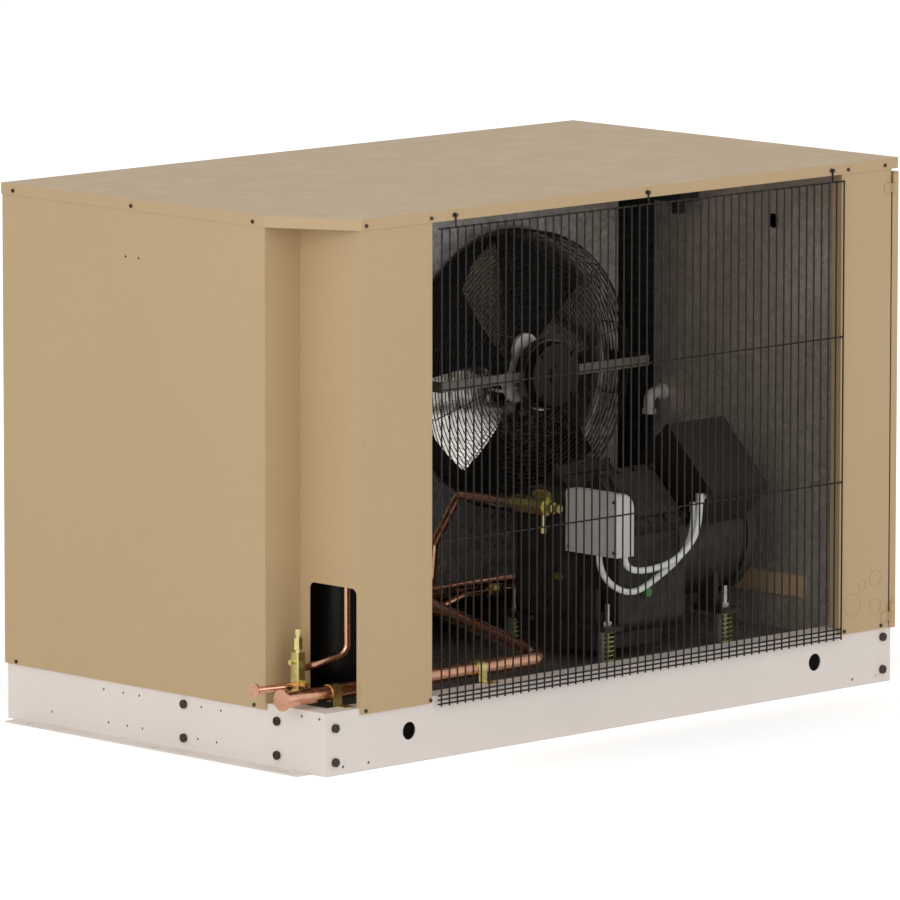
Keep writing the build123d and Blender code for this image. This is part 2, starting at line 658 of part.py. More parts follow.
def fan_shroud():
    """Shroud panel with folded edges and the hole for the throat's lip."""
    panel = block(shroud_x, (shroud_y, shroud_back), shroud_zs)
    for z in shroud_zs:
        low = z if z == shroud_zs[0] else z - panel_t
        panel += block(shroud_x, (shroud_back, shroud_back + return_w), (low, low + panel_t))
    panel += block((shroud_x[1] - panel_t, shroud_x[1]), (shroud_back, shroud_back + return_w), shroud_zs)
    return panel - rod((fan_x, shroud_y - 1, fan_z), REAR, throat_r + lip_r, 2 * panel_t)


def fan_venturi():
    """Spun throat: a rounded lip in the shroud's hole and a straight ring behind it."""
    lip = throat_r + lip_r - seam_gap
    profile = Polyline((lip, 0), (lip, panel_t)) + \
        CenterArc((lip, lip_r), lip_r - panel_t, -90, -90) + \
        Polyline((lip - lip_r + panel_t, lip_r), (lip - lip_r + panel_t, lip_r + throat_len),
                 (lip - lip_r, lip_r + throat_len), (lip - lip_r, lip_r)) + \
        CenterArc((lip, lip_r), lip_r, 180, 90)
    spin = Plane(origin=at(fan_x, shroud_y, fan_z), x_dir=(1, 0, 0), z_dir=(0, 0, 1))
    return revolve(spin * make_face(profile.edges()), axis=Axis(at(fan_x, 0, fan_z), (0, 1, 0)))


def shroud_supports():
    """Upright angles behind the shroud, from the deck to the top."""
    posts = []
    for x in (rail_flange + 4, 780.0, shroud_x[1] - panel_t - 30):
        post = block((x, x + 30), (shroud_back, shroud_back + panel_t), (deck_z, cap_under))
        post += block((x, x + panel_t), (shroud_back, shroud_back + return_w + 8), (deck_z, cap_under))
        for z in (shroud_zs[0], shroud_zs[1] - panel_t):
            post -= block((x - 1, x + 31), (shroud_back, shroud_back + return_w), (z, z + panel_t))
        posts.append(post)
    return posts


def ring_wire(radius, y):
    """A square-wire ring of the fan guard."""
    return ring((fan_x, y, fan_z), REAR, radius + basket_wire / 2, radius - basket_wire / 2, basket_wire)


def fan_guard():
    """Basket guard: rings across the face and down the side, on radial wires."""
    guard_depth = shroud_y - guard_face_y
    face_step = (guard_ring_r - 14 - guard_inner_r) / 6
    rings = [ring_wire(guard_inner_r + i * face_step, guard_face_y) for i in range(7)]
    rings += [ring_wire(guard_ring_r, guard_face_y + 16 + i * (guard_depth - 16 - basket_wire) / 3) for i in range(4)]
    spokes = []
    for i in range(8):
        turn = Pos(*at(fan_x, 0, fan_z)) * Rot(0, 22.5 + i * 45, 0)
        run = [(guard_inner_r - 2, guard_face_y - basket_wire / 2),
               (guard_ring_r - 14, guard_face_y - basket_wire / 2),
               (guard_ring_r + basket_wire - 1, guard_face_y + 14), (guard_ring_r + basket_wire - 1, shroud_y)]
        line = Polyline(*[(r, y, 0) for r, y in run])
        section = Plane(origin=line @ 0, z_dir=line % 0) * Rectangle(basket_wire, basket_wire)
        spokes.append(turn * sweep(section, path=line, transition=Transition.RIGHT))
    guard = rings[0] + rings[1:] + spokes
    return guard


def fan_motor():
    """Motor body with cooling ribs and a front cover's seat."""
    motor = rod((fan_x, motor_y[0], fan_z), REAR, motor_r, motor_y[1] - motor_y[0])
    motor -= rod((fan_x, motor_y[1] - 24, fan_z), REAR, shaft_r + shaft_fit, 30)
    return motor - [ring((fan_x, motor_y[0] + d, fan_z), REAR, motor_r + 1, motor_r - 3, 3) for d in (3.0, 8.0)]


def fan_motor_cover():
    """Round front cover with a raised centre and four screw bosses."""
    cover = rod((fan_x, motor_y[0] - cover_t, fan_z), REAR, motor_r - 2, cover_t)
    cover = fillet(cover.edges().group_by(Axis.Y)[0], 6)
    cover += rod((fan_x, motor_y[0] - cover_t - 5, fan_z), REAR, 24.0, 6)
    for i in range(4):
        a = math.radians(45 + 90 * i)
        cover += prism((fan_x + cover_bolt_r * math.cos(a), motor_y[0] - cover_t - 5,
                        fan_z + cover_bolt_r * math.sin(a)), REAR, 5.0, 6, 8)
    return cover


def arm_frame(angle):
    """Frame at the fan axis whose X points out along an arm."""
    return Pos(*at(fan_x, 0, fan_z)) * Rot(0, -angle, 0)


def fan_mount():
    """Motor band with two flat arms bent back to the shroud outside the guard."""
    reach = guard_ring_r + 14
    mount = ring((fan_x, arm_y - arm_w / 2, fan_z), REAR, motor_r + motor_band_t, motor_r, arm_w)
    for angle in arm_angles:
        frame = arm_frame(angle)
        inner = motor_r + motor_band_t - 1
        bar = Pos((inner + reach) / 2, arm_y, 0) * Box(reach - inner, arm_t, arm_w)
        leg = Pos(reach - arm_t / 2, (arm_y + shroud_y) / 2, 0) * Box(arm_t, shroud_y - arm_y, arm_w)
        foot = Pos(reach + 10, shroud_y - arm_t / 2, 0) * Box(30, arm_t, arm_w)
        mount += [frame * bar, frame * leg, frame * foot]
    return mount


def fan_hub():
    """Cast hub: bored core and a lobed plate that carries the blades."""
    lobes = Circle(hub_core_r)
    for i in range(blade_count):
        lobes += Rot(0, 0, 360 / blade_count * i) * Pos(hub_r - hub_lobe_r, 0) * Circle(hub_lobe_r)
    lobes = fillet(lobes.vertices(), 12)
    seat = Plane(origin=at(fan_x, hub_plate_y, fan_z), x_dir=(1, 0, 0), z_dir=(0, 1, 0))
    hub = extrude(seat * Rot(0, 0, blade_turn) * lobes, amount=hub_plate_t)
    hub += rod((fan_x, hub_y[0], fan_z), REAR, hub_boss_r, hub_y[1] - hub_y[0])
    for i in range(2 * blade_count):
        rib = Pos(*at(fan_x, hub_plate_y - 3, fan_z)) * Rot(0, blade_turn + 180 / blade_count * i, 0)
        hub += rib * Pos((hub_boss_r + hub_core_r) / 2, 0, 0) * Box(hub_core_r - hub_boss_r, 8, 5)
    return hub - rod((fan_x, hub_y[0] - 1, fan_z), REAR, shaft_r, hub_y[1] - hub_y[0] + 2)


blade_turn = -25.0
blade_sections = ((62.0, 96.0, 34.0), (180.0, 190.0, 27.0), (blade_tip_r, 236.0, 22.0))


def fan_blade(turn):
    """Twisted blade lofted through three sections: radius, chord and pitch."""
    faces = []
    for r, chord, pitch in blade_sections:
        frame = Plane(origin=(r, 0, 0), x_dir=(0, -math.sin(math.radians(pitch)), math.cos(math.radians(pitch))),
                      z_dir=(1, 0, 0))
        faces.append(frame * Rectangle(chord, blade_t))
    blade = loft(faces)
    rim = Rot(90, 0, 0) * Cylinder(blade_tip_r + 1, 200)
    blade &= rim
    return Pos(*at(fan_x, blade_y, fan_z)) * Rot(0, turn, 0) * blade


def fan_blades():
    """The fan's blades, each riveted to the back of the hub's plate by a root plate."""
    blades = []
    for i in range(blade_count):
        turn = blade_turn + 360 / blade_count * i
        back = hub_plate_y + hub_plate_t
        root = Pos(*at(fan_x, back + root_plate_t / 2, fan_z)) * Rot(0, turn, 0) * Pos(66, 0, 0) * \
            Box(60, root_plate_t, 44)
        web = Pos(*at(fan_x, (back + blade_y) / 2, fan_z)) * Rot(0, turn, 0) * Pos(78, 0, 0) * \
            Box(30, blade_y - back, 8)
        blades.append(fan_blade(turn) + [root, web])
    return blades


fan_shaft = rod((fan_x, motor_y[1] - 20, fan_z), REAR, shaft_r, hub_y[1] - motor_y[1] + 20)
save("fan_shroud", fan_shroud())
save("fan_venturi", fan_venturi())
save("shroud_supports", group(shroud_supports()))
save("fan_guard", fan_guard())
save("fan_motor", fan_motor())
save("fan_motor_cover", fan_motor_cover())
save("fan_mount", fan_mount())
save("fan_shaft", fan_shaft)
save("fan_hub", fan_hub())
save("fan_blades", group(fan_blades()))

# ---------------------------------------------------------------- compressor
crank = Pos(*at(0, crank_y, crank_z))
tilt_front, tilt_rear = crank * Rot(45, 0, 0), crank * Rot(-45, 0, 0)


def tilted(frame, x, t, s):
    """A box in a frame turned about the crank axis: along X, across and outward."""
    mid = [(a + b) / 2 for a, b in (x, t, s)]
    return frame * Pos(*mid) * Box(*[b - a for a, b in (x, t, s)])


def mount_lug(x, y):
    """Foot lug: a plate on the mount, webbed up to the casing."""
    inward = 1 if y < crank_y else -1
    outer, inner = y - inward * lug_w / 2, crank_y - inward * 70.0
    low, high = min(outer, inner), max(outer, inner)
    lug = block((x - lug_w / 2, x + lug_w / 2), (low, high), (lug_z, lug_z + lug_t))
    lug = fillet(lug.edges().filter_by(Axis.Z), 12)
    web_y = sorted((y + inward * lug_w / 2, inner))
    lug += block((x - 7, x + 7), web_y, (lug_z, lug_z + 95))
    return lug - rod((x, y, lug_z - 1), UP, stud_r + hole_gap, lug_t + 2)


def compressor_body():
    """Casting: motor barrel, crankcase with sump, two cylinder banks, ribs and foot lugs."""
    body = rod((barrel_x[0], crank_y, crank_z), RIGHT, barrel_r, barrel_x[1] - barrel_x[0])
    case = block((case_x, barrel_x[0] + 20), case_y, (sump_z + 36, case_z + 92))
    case = fillet(case.edges().filter_by(Axis.X), 34)
    nose = block((nose_x, case_x + 5), nose_y, (lug_z + lug_t + 5, case_z + 140))
    nose = fillet(nose.edges().filter_by(Axis.X), 30)
    sump = block((nose_x + 22, barrel_x[0] - 10), (145.0, 370.0), (sump_z, sump_z + 90))
    sump = fillet(sump.edges().filter_by(Axis.Z), 22)
    body += [case, nose, sump]
    body -= [tilted(f, bank_x, (-bank_w, bank_w), (bank_len, 2 * bank_len)) for f in (tilt_front, tilt_rear)]
    body += [tilted(f, bank_x, (-bank_w / 2, bank_w / 2), (0, bank_len)) for f in (tilt_front, tilt_rear)]
    body += rod((barrel_x[0] - 8, crank_y, crank_z), RIGHT, barrel_r + 9, 16)
    body += rod((barrel_x[1] - 16, crank_y, crank_z), RIGHT, barrel_r + bell_flange, 16)
    body += tilted(tilt_front, (box_x[0] + 14, box_x[1] - 14), (box_up - 78, box_up + 78), (60, box_base))
    body += block((1395.0, 1465.0), (380.0, crank_y + barrel_r + 6), (crank_z - 36, crank_z + 36))
    body += [mount_lug(x, y) for x in mount_x for y in mount_y]
    body -= tilted(tilt_front, box_x, (box_up - box_half, box_up + box_half), (box_base, box_lid))
    body -= block((nose_x - 1, module_x[1]), (0, module_y[1]), (module_z[0], module_z[1] + 60))
    return body


def cylinder_head(frame):
    """Bolted head: rounded plate with a raised centre and a rib across."""
    x, half = bank_x, bank_w / 2 + 5
    s = (bank_len, bank_len + head_t * 0.7)
    head = tilted(frame, x, (-half, half), s)
    head = fillet(head.edges().filter_by(lambda e: e.length > head_t * 0.65 and e.length < head_t * 0.75), 24)
    crown = tilted(frame, (x[0] + 22, x[1] - 16), (-half + 22, half - 22), (s[1], bank_len + head_t))
    crown = fillet(crown.edges().filter_by(lambda e: abs(e.length - head_t * 0.3) < 0.1), 20)
    return head + crown


def head_bolts(frame):
    """Hexagonal bolt heads round one cylinder head."""
    half = bank_w / 2 - 7
    level = bank_len + head_t * 0.7
    spots = [(bank_x[0] + 12 + i * 56, t) for i in range(4) for t in (-half, half)]
    return [extrude(frame * Pos(x, t, level) * RegularPolygon(8, 6), amount=9,
                    dir=(frame * Pos(0, 0, 1)).position - frame.position) for x, t in spots]


def motor_end_bell():
    """Domed end bell with a bolting flange."""
    bell = rod((barrel_x[1], crank_y, crank_z), RIGHT, bell_r, bell_len)
    bell = fillet(bell.edges().group_by(Axis.X)[-1], bell_round)
    return bell + rod((barrel_x[1], crank_y, crank_z), RIGHT, barrel_r + bell_flange, 14)


def bell_bolts():
    """Bolt heads on the end bell's flange, clear of its dome."""
    bolts = []
    for i in range(8):
        a = math.radians(22.5 + 45 * i)
        r = (bell_r + barrel_r + bell_flange) / 2
        y, z = crank_y + r * math.cos(a), crank_z + r * math.sin(a)
        bolts.append(prism((barrel_x[1] + 14, y, z), RIGHT, 7.5, 6, 7))
    return bolts


cover_y, cover_z, cover_r = 316.0, 300.0, 62.0


def crankcase_cover():
    """Round bearing cover on the casing's free end."""
    cover = rod((nose_x, cover_y, cover_z), LEFT, cover_r, 10)
    return cover + rod((nose_x - 10, cover_y, cover_z), LEFT, cover_r - 26, 8)


def cover_bolts():
    r = cover_r - 11
    return [prism((nose_x - 10, cover_y + r * math.cos(math.radians(a)),
                   cover_z + r * math.sin(math.radians(a))), LEFT, 7.0, 6, 6) for a in range(30, 390, 60)]


def terminal_box():
    """Terminal box tilted to the front, open under its lid, with two conduit hubs."""
    t = (box_up - box_half, box_up + box_half)
    box = tilted(tilt_front, box_x, t, (box_base, box_lid - lid_t))
    box -= tilted(tilt_front, (box_x[0] + 5, box_x[1] - 5), (t[0] + 5, t[1] - 5), (box_base + 6, box_lid))
    for x, y, z in (conduit_a[-1], conduit_b[-1]):
        box += rod((x, y, z), UP, fitting_r, fitting_drop + fitting_r - 2)
        box += rod((x, y, z + fitting_drop), RIGHT, fitting_r - 2, box_x[0] - x)
    return box


def terminal_box_lid():
    """Lid with a shallow folded edge and four corner screws."""
    t = (box_up - box_half, box_up + box_half)
    lid = tilted(tilt_front, box_x, t, (box_lid - lid_t, box_lid))
    lid = chamfer(lid.edges().filter_by(lambda e: e.length > 150).sort_by(
        lambda e: -(e.center() - tilt_front.position).length)[:4], 2.5)
    return lid


def module_box():
    """Protection module: grey box with a rounded top, seated on the front bank's end."""
    box = block(module_x, module_y, module_z)
    box = fillet(box.edges().filter_by(Axis.Y).group_by(Axis.Z)[-1].sort_by(Axis.X)[-1], module_slope)
    return fillet(box.edges().filter_by(Axis.X).group_by(Axis.Z)[-1], module_round)


conduit_a = [(1012.0, 60.0, module_z[0]), (1012.0, 60.0, 366.0), (1034.0, 60.0, 349.0), (1068.0, 59.0, 343.0),
             (1112.0, 56.0, 345.0), (1158.0, 52.0, 354.0), (1198.0, 47.0, 376.0), (1228.0, 44.0, 408.0),
             (1241.0, 43.0, 446.0), (1243.0, 43.0, 486.0)]
conduit_b = [(1000.0, 132.0, module_z[0]), (1000.0, 132.0, 354.0), (1004.0, 110.0, 320.0),
             (1028.0, 90.0, 297.0), (1062.0, 82.0, 290.0), (1104.0, 82.0, 300.0), (1150.0, 80.0, 322.0),
             (1196.0, 74.0, 350.0), (1228.0, 66.0, 386.0), (1241.0, 62.0, 424.0), (1243.0, 62.0, 464.0)]
fitting_r, fitting_drop = 10.5, 14.0        # elbow fittings on the terminal box


def conduit(points):
    """A flexible conduit held at both ends."""
    radii = cord_bends(points)
    print("conduit bend radii", [round(r, 1) for r in radii])
    path = FilletPolyline(*[at(*p) for p in points], radius=radii)
    tube = sweep(Plane(origin=path @ 0, z_dir=path % 0) * Circle(conduit_r), path=path)
    print("conduit volume over section times length", tube.volume / (math.pi * conduit_r ** 2 * path.length))
    return tube


def discharge_valve(x, y, z, gap_to_body):
    """Discharge service valve: flange and neck to the casing, hexagonal body along Y, two caps, a port."""
    valve = block((x + gap_to_body - 9, x + gap_to_body), (y - 29, y + 29), (z - 29, z + 29))
    valve = fillet(valve.edges().filter_by(Axis.X), 14)
    valve += rod((x, y, z), RIGHT, 17.0, gap_to_body)
    valve += prism((x, y - 62, z), REAR, 21.0, 8, 100)
    valve += rod((x, y + 38, z), REAR, 15.0, 14)
    valve += prism((x, y - 86, z), REAR, 14.0, 6, 24)
    valve += prism((x, y - 104, z), REAR, 11.0, 6, 18)
    valve += rod((x, y - 50, z - 20), DOWN, 5.0, 26)
    return valve + prism((x, y - 50, z - 46), DOWN, 7.0, 6, 16)


suction_valve_y = crank_y + barrel_r + 6
suction_back_y = 520.0


def suction_valve():
    """Suction service valve on the barrel's rear pad, stem cap upright."""
    x, y, z = 1430.0, suction_valve_y, crank_z
    valve = block((x - 33, x + 33), (y, y + 10), (z - 33, z + 33))
    valve = fillet(valve.edges().filter_by(Axis.Y), 14)
    valve += rod((x, y, z), REAR, 25.0, 54)
    valve += rod((x, y + 34, z), UP, 15.0, 48)
    return valve + prism((x, y + 34, z + 48), UP, 13.0, 6, 18)


spring_z = (deck_z, lug_z)


def mount_spring(x, y):
    """Coil spring of square wire between the deck and the foot lug, closed by flat end rings."""
    rings = [ring((x, y, spring_z[0]), UP, spring_r + spring_wire / 2, spring_r - spring_wire / 2, 4),
             ring((x, y, spring_z[1] - 4), UP, spring_r + spring_wire / 2, spring_r - spring_wire / 2, 4)]
    rise = spring_z[1] - spring_z[0] - 4
    path = Helix(pitch=rise / spring_turns, height=rise, radius=spring_r,
                 center=at(x, y, spring_z[0] + 2))
    section = Plane(origin=path @ 0, z_dir=path % 0) * Rectangle(spring_wire * 0.8, spring_wire * 0.8)
    return sweep(section, path=path, is_frenet=True) + rings


def mount_stud(x, y):
    """Stud through the deck, spring and lug, with nuts below and above."""
    low = deck_z - deck_t
    stud = rod((x, y, low - nut_h - 4), UP, stud_r, stud_top - low + nut_h + 4)
    stud += prism((x, y, low - nut_h), UP, nut_r, 6, nut_h)
    return stud + prism((x, y, lug_z + lug_t), UP, nut_r, 6, nut_h)


def shipping_spacer(x, y):
    """C-shaped spacer clipped round the spring, its gap to the right."""
    tube = ring((x, y, deck_z), UP, spacer_r + spacer_t, spacer_r, lug_z - deck_z)
    gap = Pos(spacer_open + spacer_r, 0, (deck_z + lug_z) / 2) * Box(2 * spacer_r, 3 * spacer_r, lug_z)
    return tube - Pos(*at(x, y, 0)) * Rot(0, 0, spacer_turn) * gap


save("compressor_body", compressor_body())
save("cylinder_heads", group([cylinder_head(tilt_front), cylinder_head(tilt_rear)]))
save("compressor_end_covers", group([motor_end_bell(), crankcase_cover()]))
save("compressor_bolts", group(head_bolts(tilt_front) + head_bolts(tilt_rear) + bell_bolts() + cover_bolts()))
save("terminal_box", terminal_box())
save("terminal_box_lid", terminal_box_lid())
save("module_box", module_box())
save("upper_conduit", conduit(conduit_a))
save("lower_conduit", conduit(conduit_b))
plugs = [prism((nose_x, 240.0, 320.0), LEFT, 11.0, 6, 9), rod((1126.0, case_y[0], 283.0), FRONT, 11.0, 14)]
save("compressor_fittings", group([discharge_valve(valve_x, 295.0, valve_z, nose_x - valve_x),
                                   suction_valve()] + plugs))
save("mount_springs", group(mount_spring(x, y) for x in mount_x for y in mount_y))
save("mount_studs", group(mount_stud(x, y) for x in mount_x for y in mount_y))
save("shipping_spacers", group(shipping_spacer(x, y) for x in mount_x for y in mount_y))

# ---------------------------------------------------------------- pipework
suction_z, suction_y = 172.0, 80.0
valve_body_x, valve_body_y = 51.0, 145.0
valve_body_z = (173.0, 262.0)


def suction_line():
    """Suction line from the capped stub along the front, back past the compressor and up to its valve."""
    points = [(-60.0, suction_y, suction_z), (770.0, suction_y, suction_z), (770.0, suction_back_y, 262.0),
              (1430.0, suction_back_y, 262.0), (1430.0, suction_back_y, crank_z),
              (1430.0, suction_valve_y + 54, crank_z)]
    return pipe(points, suction_r, 44.0) + rod((-62.0, suction_y, suction_z), RIGHT, suction_cap_r, 5.0)


def discharge_line():
    """Discharge line from the service valve down, under the shroud and up to the hot-gas header."""
    points = [(valve_x, 347.0, valve_z), (valve_x, 525.0, valve_z), (905.0, 585.0, 365.0),
              (890.0, 590.0, 180.0), (860.0, 700.0, 180.0), (110.0, base_w - plenum_pipe, 180.0),
              (110.0, base_w - plenum_pipe, 940.0), (header_x, base_w - plenum_pipe, 940.0),
              (header_x, header_y - header_r, 940.0)]
    return pipe(points, discharge_r, 24.0)


def liquid_line():
    """Liquid line: capped stub to the valve, valve to the receiver's top valve."""
    stub = pipe([(-66.0, 163.0, 185.0), (10.0, 148.0, 185.0), (valve_body_x - 13, 148.0, 185.0)],
                liquid_r, 60.0)
    stub += rod((-69.0, 163.0, 185.0), RIGHT, liquid_cap_r, 4.0)
    riser = pipe([(valve_body_x + 13, 142.0, 224.0), (84.0, 142.0, 224.0), (170.0, 110.0, 250.0), (170.0, 110.0, 940.0),
                  (receiver_x, receiver_y, 940.0), (receiver_x, receiver_y, 905.0)], liquid_r, 26.0)
    return [stub, riser]


def drain_line():
    """Condensate line from the cold header to the foot of the receiver."""
    points = [(header_x, header_y - header_r, 195.0), (header_x, 700.0, 195.0), (receiver_x, 560.0, 195.0),
              (receiver_x, receiver_y + receiver_r, 195.0)]
    return pipe(points, drain_r, 40.0)


def oil_line():
    """Small line from the receiver past the sight glass to the crankcase."""
    end = case_y[1]
    return [pipe([(receiver_x + receiver_r, 300.0, 232.0), (500.0, 300.0, 232.0), (580.0, 470.0, 222.0),
                  (760.0, 483.0, 218.0),
                  (890.0, 466.75, 258.0), (960.0, 458.0, 258.0)], oil_r, 30.0),
            pipe([(1008.0, 452.0, 258.0), (1190.0, 429.25, 258.0), (1190.0, end, 258.0)], oil_r, 14.0)]


def line_sight_glass():
    """Moisture indicator: brass body with a round window on top."""
    start = Vector(960, 458, 258)
    along = (Vector(1008, 452, 258) - start).normalized()
    body = prism(tuple(start), tuple(along), 12.0, 6, (Vector(1008, 452, 258) - start).length)
    return body + rod((984.0, 455.0, 264.0), UP, 15.0, 12)


def liquid_valve():
    """Liquid service valve: upright body, gland, and three capped ports."""
    x, y = valve_body_x, valve_body_y
    body = block((x - 13, x + 13), (y - 13, y + 13), valve_body_z)
    body = chamfer(body.edges().filter_by(Axis.Z), 3)
    body += rod((x, y, valve_body_z[1]), UP, 8.0, 6)
    body += prism((x, y - 13, 190.0), FRONT, 8.5, 6, 18)
    body += rod((x - 13, y, 240.0), LEFT, 6.0, 12)
    body -= rod((x, y, valve_body_z[1] - 20), UP, 4.0 + shaft_fit, 30)
    return body


def liquid_valve_stem():
    """Turning stem: spindle in the body, hexagonal packing nut and square drive."""
    x, y, z = valve_body_x, valve_body_y, valve_body_z[1]
    stem = rod((x, y, z - 18), UP, 4.0, 30)
    stem += prism((x, y, z + 6.4), UP, 11.0, 6, 26)
    stem += rod((x, y, z + 32), UP, 6.5, 6)
    return stem + prism((x, y, z + 38), UP, 7.5, 4, 14)


def pipe_clamp(x):
    """Strap round the suction line with a foot on the front rail's flange."""
    y, z = suction_y, suction_z
    strap = ring((x - clamp_w / 2, y, z), RIGHT, suction_r + clamp_t, suction_r, clamp_w)
    strap += block((x - clamp_w / 2, x + clamp_w / 2), (y - suction_r - clamp_t, y - suction_r),
                   (base_h, z))
    return strap + block((x - clamp_w / 2, x + clamp_w / 2), (rail_flange - 32, y - suction_r - clamp_t + 1),
                         (base_h, base_h + clamp_t))


def pipe_clamps():
    return [pipe_clamp(x) - block((x - 40, x + 40), (rail_flange, 90.0), (base_h - 1, base_h + 1.0))
            for x in clamp_x]


def receiver():
    """Upright liquid receiver with domed ends on a ring foot."""
    shell = rod((receiver_x, receiver_y, receiver_z[0]), UP, receiver_r, receiver_z[1] - receiver_z[0])
    shell = fillet(shell.edges().filter_by(GeomType.CIRCLE), 46)
    foot = ring((receiver_x, receiver_y, deck_z), UP, 84.0, 80.0, 46)
    return shell + foot - rod((receiver_x, receiver_y, 845.0), UP, 12.0, 30)


def receiver_valve():
    """Outlet valve on the receiver's top."""
    x, y = receiver_x, receiver_y
    valve = rod((x, y, 845.0), UP, 12.0, 30)
    valve += block((x - 15, x + 15), (y - 15, y + 15), (870.0, 905.0))
    return valve + prism((x + 15, y, 888.0), RIGHT, 10.0, 6, 34)


save("suction_line", suction_line())
save("discharge_line", discharge_line())
save("liquid_line", group(liquid_line() + [drain_line()]))
save("oil_line", group(oil_line()))
save("line_sight_glass", line_sight_glass())
save("liquid_valves", group([liquid_valve(), receiver_valve()]))
save("liquid_valve_stem", liquid_valve_stem())
save("pipe_clamps", group(pipe_clamps()))
save("receiver", receiver())
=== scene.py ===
"""Looks of the condensing unit: camera, conduits, materials, wire work, springs and small detail."""
import math

import bpy
import bmesh
from mathutils import Matrix, Vector


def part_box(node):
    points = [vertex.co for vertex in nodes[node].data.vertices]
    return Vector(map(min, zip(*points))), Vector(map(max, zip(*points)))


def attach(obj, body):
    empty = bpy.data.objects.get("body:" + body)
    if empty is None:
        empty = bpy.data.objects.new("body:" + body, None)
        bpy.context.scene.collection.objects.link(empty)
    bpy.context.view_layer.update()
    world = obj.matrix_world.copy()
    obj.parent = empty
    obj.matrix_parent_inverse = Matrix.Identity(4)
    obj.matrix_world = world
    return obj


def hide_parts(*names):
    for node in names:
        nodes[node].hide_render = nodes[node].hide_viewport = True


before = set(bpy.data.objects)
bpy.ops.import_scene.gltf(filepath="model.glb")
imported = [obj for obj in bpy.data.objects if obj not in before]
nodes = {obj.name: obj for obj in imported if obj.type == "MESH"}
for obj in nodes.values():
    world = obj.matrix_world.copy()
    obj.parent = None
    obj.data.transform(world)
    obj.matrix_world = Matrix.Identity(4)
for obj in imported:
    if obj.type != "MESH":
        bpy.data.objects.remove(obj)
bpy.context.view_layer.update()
scene = bpy.context.scene

# ------------------------------------------------------------------ stations
MM = 0.001
rail_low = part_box("base_front_rail")[0]
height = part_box("top_cap")[1][2] * 1000


def at(x, y, z):
    """A station in mm from the base's front-left bottom corner, as a point in metres."""
    return Vector((rail_low[0] + x * MM, rail_low[1] + y * MM, z * MM))


def station(point):
    """The reverse of at()."""
    return ((point[0] - rail_low[0]) / MM, (point[1] - rail_low[1]) / MM, point[2] / MM)


def span(node):
    """A node's lowest and highest corners as stations."""
    low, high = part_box(node)
    return station(low), station(high)


# ------------------------------------------------------------------ camera
camera_at = Vector((-15.293, -15.667, 3.816))
camera_yaw, camera_pitch, camera_roll = math.radians(44.28), math.radians(-8.38), math.radians(0.06)


def make_camera():
    data = bpy.data.cameras.new("camera")
    data.lens, data.sensor_width = 378.0, 36.0
    data.clip_start, data.clip_end = 1.0, 200.0
    camera = bpy.data.objects.new("camera", data)
    turn = Matrix.Rotation(-camera_yaw, 4, "Z") @ Matrix.Rotation(math.pi / 2 + camera_pitch, 4, "X") @ \
        Matrix.Rotation(camera_roll, 4, "Z")
    camera.matrix_world = Matrix.Translation(camera_at) @ turn
    scene.collection.objects.link(camera)
    scene.camera = camera


make_camera()

# ------------------------------------------------------------------ conduits
conduit_d = 15.0
rib_pitch = 2.4                         # of the conduit's ribs
module_foot = span("module_box")[0][2]
conduits = {
    "upper_conduit": (336.5, [(1012, 60, module_foot), (1012, 60, 366), (1034, 60, 349), (1068, 59, 343),
                              (1112, 56, 345), (1158, 52, 354), (1198, 47, 376), (1228, 44, 408),
                              (1241, 43, 446), (1243, 43, 486)]),
    "lower_conduit": (416.1, [(1000, 132, module_foot), (1000, 132, 354), (1004, 110, 320), (1028, 90, 297),
                              (1062, 82, 290), (1104, 82, 300), (1150, 80, 322), (1196, 74, 350),
                              (1228, 66, 386), (1241, 62, 424), (1243, 62, 464)]),
}


def make_conduit(node):
    """One flexible conduit on a smooth line through the model's route."""
    length, route = conduits[node]
    curve = bpy.data.curves.new(node + "_line", "CURVE")
    curve.dimensions = "3D"
    curve.bevel_depth, curve.bevel_resolution = 1.0, 6
    line = curve.splines.new("NURBS")
    line.points.add(len(route) - 1)
    for point, place in zip(line.points, route):
        point.co = (*at(*place), 1)
        point.radius = conduit_d / 2 * MM
    line.order_u, line.use_endpoint_u = 3, True
    line.resolution_u = 24
    piece = bpy.data.objects.new(node + "_line", curve)
    scene.collection.objects.link(piece)
    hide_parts(node)
    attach(piece, "cabinet")
    return piece


conduit_pieces = [make_conduit(node) for node in conduits]


# ------------------------------------------------------------------ materials
fin_pitch, tube_pitch = 2.1, 25.4
green_cap, cap_reach = (1126, 107, 283), 24.0       # the green plug cap: station, and how far it reaches


